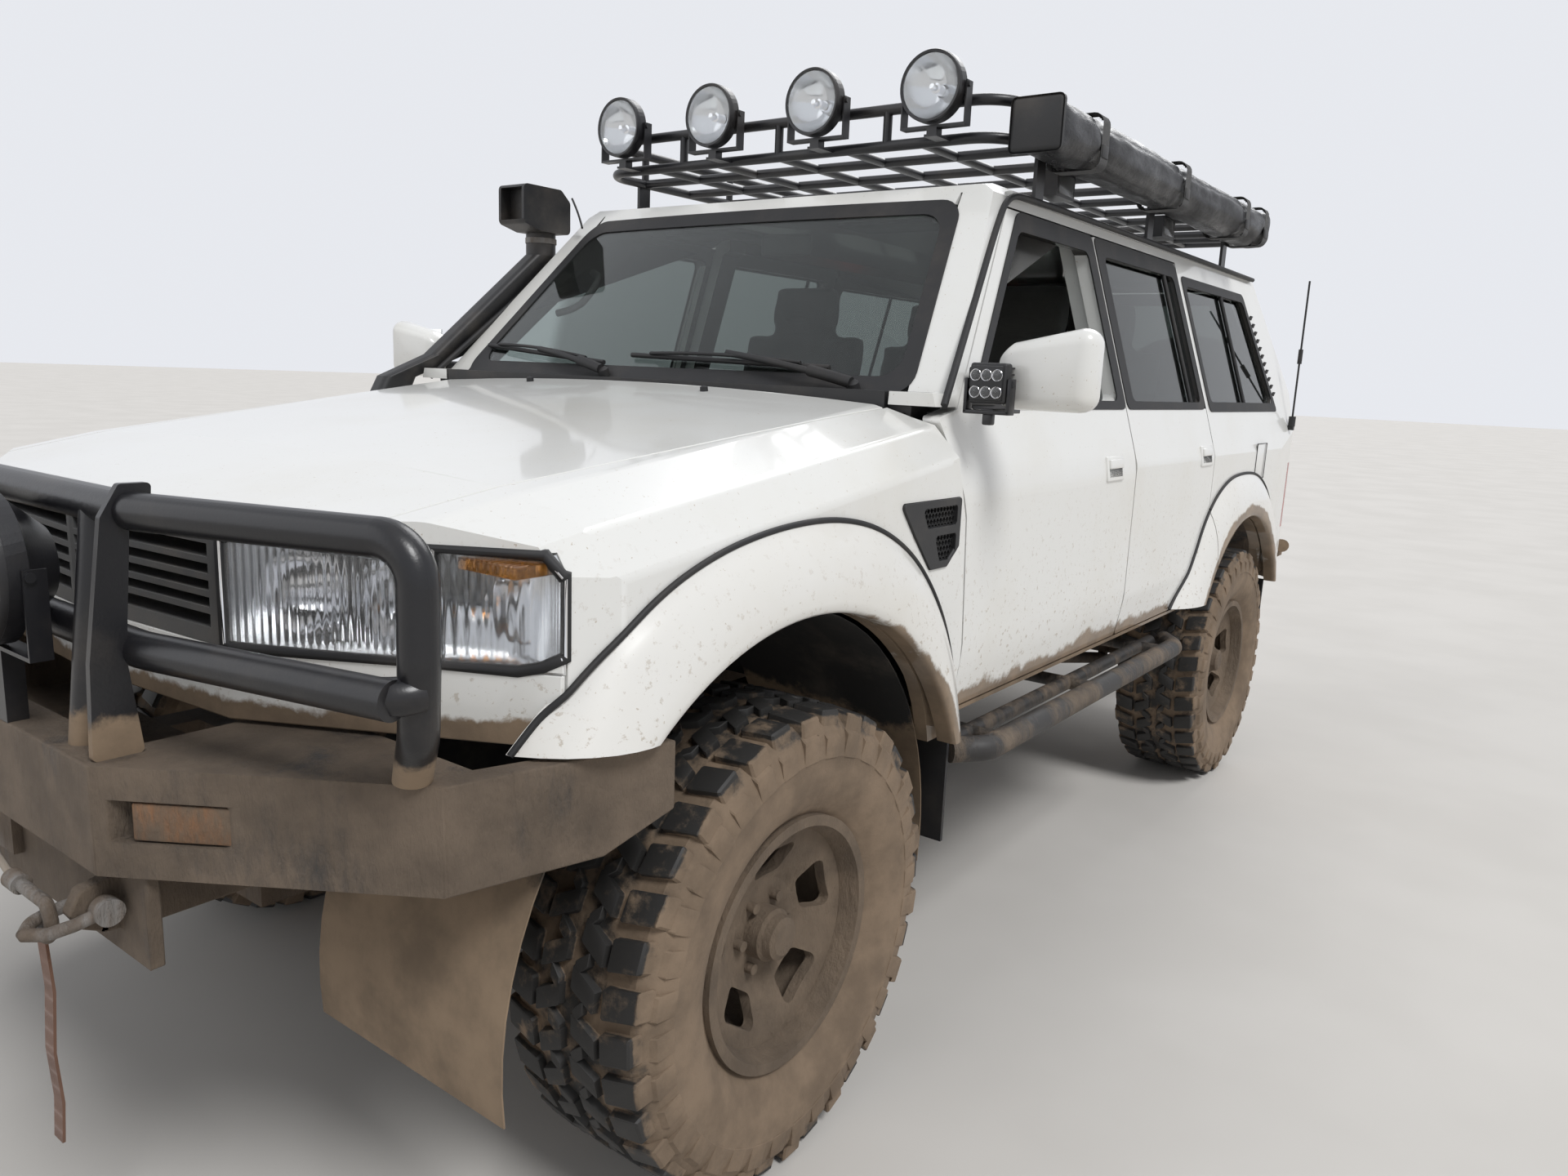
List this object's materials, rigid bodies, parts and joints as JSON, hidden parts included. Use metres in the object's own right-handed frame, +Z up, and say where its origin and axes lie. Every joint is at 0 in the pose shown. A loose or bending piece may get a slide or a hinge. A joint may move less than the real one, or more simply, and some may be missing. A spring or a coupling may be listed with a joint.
{
  "type": "lifted four-wheel-drive off-road vehicle",
  "caption": "Lifted five-door off-road 4x4 on solid axles with a bull bar, winch, snorkel, roof rack, awning bag and spare wheel.",
  "frame": {"origin": "on the ground, at the middle of the vehicle's length and width", "axes": "+X to the vehicle's left, the nose points to -Y, +Z up"},
  "size_m": [2.32, 5.2155, 2.2598],
  "materials": {
    "body_paint": "gloss",
    "black_coat": "satin",
    "dark_steel": "matte",
    "bumper_steel": "matte",
    "black_plastic": "matte",
    "grille_grey": "satin",
    "lamp_clear": "gloss",
    "lamp_red": "gloss",
    "lamp_body": "gloss",
    "window_glass": "gloss",
    "tyre_rubber": "matte",
    "wheel_silver": "satin",
    "seat_cloth": "matte",
    "dash_plastic": "matte",
    "rubber": "matte",
    "bag_canvas": "matte",
    "bright_steel": "worn",
    "rope_fibre": "matte",
    "strap_web": "matte",
    "flare_paint": "gloss"
  },
  "bodies": {
    "vehicle": {"roof_panel": "body_paint", "side_panel_left": "body_paint", "side_panel_right": "body_paint", "floor_pan": "body_paint", "cowl_panel": "body_paint", "front_wings": "body_paint", "front_panel": "body_paint", "grille": "grille_grey", "front_lamps": "lamp_clear", "side_vents": "black_plastic", "wheel_flares": "flare_paint", "body_glass": "window_glass", "chassis_frame": "dark_steel", "engine_block": "dark_steel", "front_axle": "dark_steel", "rear_axle": "dark_steel", "suspension": "dark_steel", "drivetrain": "dark_steel", "tank_and_exhaust": "dark_steel", "seats": "seat_cloth", "dashboard": "dash_plastic", "bull_bar": "black_coat", "front_bumper": "bumper_steel", "winch": "bright_steel", "shackle": "bright_steel", "winch_hook": "bright_steel", "winch_rope": "rope_fibre", "hook_strap": "strap_web", "driving_lamps": "lamp_body", "snorkel": "black_plastic", "roof_rack": "black_coat", "awning_bag": "bag_canvas", "side_steps": "bumper_steel", "rear_bumper": "black_coat", "tail_lamps": "lamp_red", "mud_flaps": "rubber", "antennas": "black_plastic"},
    "bonnet": {"bonnet": "body_paint"},
    "steering_wheel": {"steering_wheel": "dash_plastic"},
    "door_front_left": {"door_front_left": "body_paint"},
    "door_front_right": {"door_front_right": "body_paint", "glass_front_right": "window_glass"},
    "door_rear_left": {"door_rear_left": "body_paint", "glass_rear_left": "window_glass"},
    "door_rear_right": {"door_rear_right": "body_paint", "glass_rear_right": "window_glass"},
    "tail_door_left": {"tail_door_left": "body_paint", "spare_wheel": "tyre_rubber"},
    "tail_door_right": {"tail_door_right": "body_paint"},
    "knuckle_left": {"knuckle_left": "dark_steel"},
    "knuckle_right": {"knuckle_right": "dark_steel"},
    "wheel_front_left": {"tyre_front_left": "tyre_rubber", "rim_front_left": "wheel_silver"},
    "wheel_front_right": {"tyre_front_right": "tyre_rubber", "rim_front_right": "wheel_silver"},
    "wheel_rear_left": {"tyre_rear_left": "tyre_rubber", "rim_rear_left": "wheel_silver"},
    "wheel_rear_right": {"tyre_rear_right": "tyre_rubber", "rim_rear_right": "wheel_silver"}
  },
  "joints": [
    {"name": "bonnet_hinge", "type": "hinge", "parent": "vehicle", "child": "bonnet", "pos_m": [0, -1.06925, 1.425], "axis": [-1, 0, 0], "range_deg": [0, 50]},
    {"name": "door_front_left_hinge", "type": "hinge", "parent": "vehicle", "child": "door_front_left", "pos_m": [0.905, -1.04925, 1.1], "axis": [0, 0, -1], "range_deg": [0, 60]},
    {"name": "door_front_right_hinge", "type": "hinge", "parent": "vehicle", "child": "door_front_right", "pos_m": [-0.905, -1.04925, 1.1], "axis": [0, 0, 1], "range_deg": [0, 60]},
    {"name": "door_rear_left_hinge", "type": "hinge", "parent": "vehicle", "child": "door_rear_left", "pos_m": [0.913, 0.09875, 1.1], "axis": [0, 0, -1], "range_deg": [0, 65]},
    {"name": "door_rear_right_hinge", "type": "hinge", "parent": "vehicle", "child": "door_rear_right", "pos_m": [-0.913, 0.09875, 1.1], "axis": [0, 0, 1], "range_deg": [0, 65]},
    {"name": "tail_door_left_hinge", "type": "hinge", "parent": "vehicle", "child": "tail_door_left", "pos_m": [0.79, 2.24075, 1.2], "axis": [0, 0, -1], "range_deg": [0, 85]},
    {"name": "tail_door_right_hinge", "type": "hinge", "parent": "vehicle", "child": "tail_door_right", "pos_m": [-0.79, 2.24075, 1.2], "axis": [0, 0, 1], "range_deg": [0, 90]},
    {"name": "steer_left", "type": "hinge", "parent": "vehicle", "child": "knuckle_left", "pos_m": [0.64, -1.56925, 0.4425], "axis": [0, 0, 1], "range_deg": [-28, 28]},
    {"name": "steer_right", "type": "hinge", "parent": "vehicle", "child": "knuckle_right", "pos_m": [-0.64, -1.56925, 0.4425], "axis": [0, 0, 1], "range_deg": [-28, 28]},
    {"name": "steering_wheel_turn", "type": "hinge", "parent": "vehicle", "child": "steering_wheel", "pos_m": [0.37, -0.42925, 1.2], "axis": [0, 0.8829, 0.4695], "range_deg": [-448, 448]},
    {"name": "wheel_front_left_spin", "type": "hinge", "parent": "knuckle_left", "child": "wheel_front_left", "pos_m": [0.8, -1.56925, 0.4425], "axis": [1, 0, 0], "continuous": true},
    {"name": "wheel_front_right_spin", "type": "hinge", "parent": "knuckle_right", "child": "wheel_front_right", "pos_m": [-0.8, -1.56925, 0.4425], "axis": [1, 0, 0], "continuous": true},
    {"name": "wheel_rear_left_spin", "type": "hinge", "parent": "vehicle", "child": "wheel_rear_left", "pos_m": [0.8, 1.28075, 0.4425], "axis": [1, 0, 0], "continuous": true},
    {"name": "wheel_rear_right_spin", "type": "hinge", "parent": "vehicle", "child": "wheel_rear_right", "pos_m": [-0.8, 1.28075, 0.4425], "axis": [1, 0, 0], "continuous": true}
  ],
  "couplings": [
    {"joint": "steer_right", "follows": "steer_left", "ratio": 1},
    {"joint": "steering_wheel_turn", "follows": "steer_left", "ratio": 16}
  ]
}
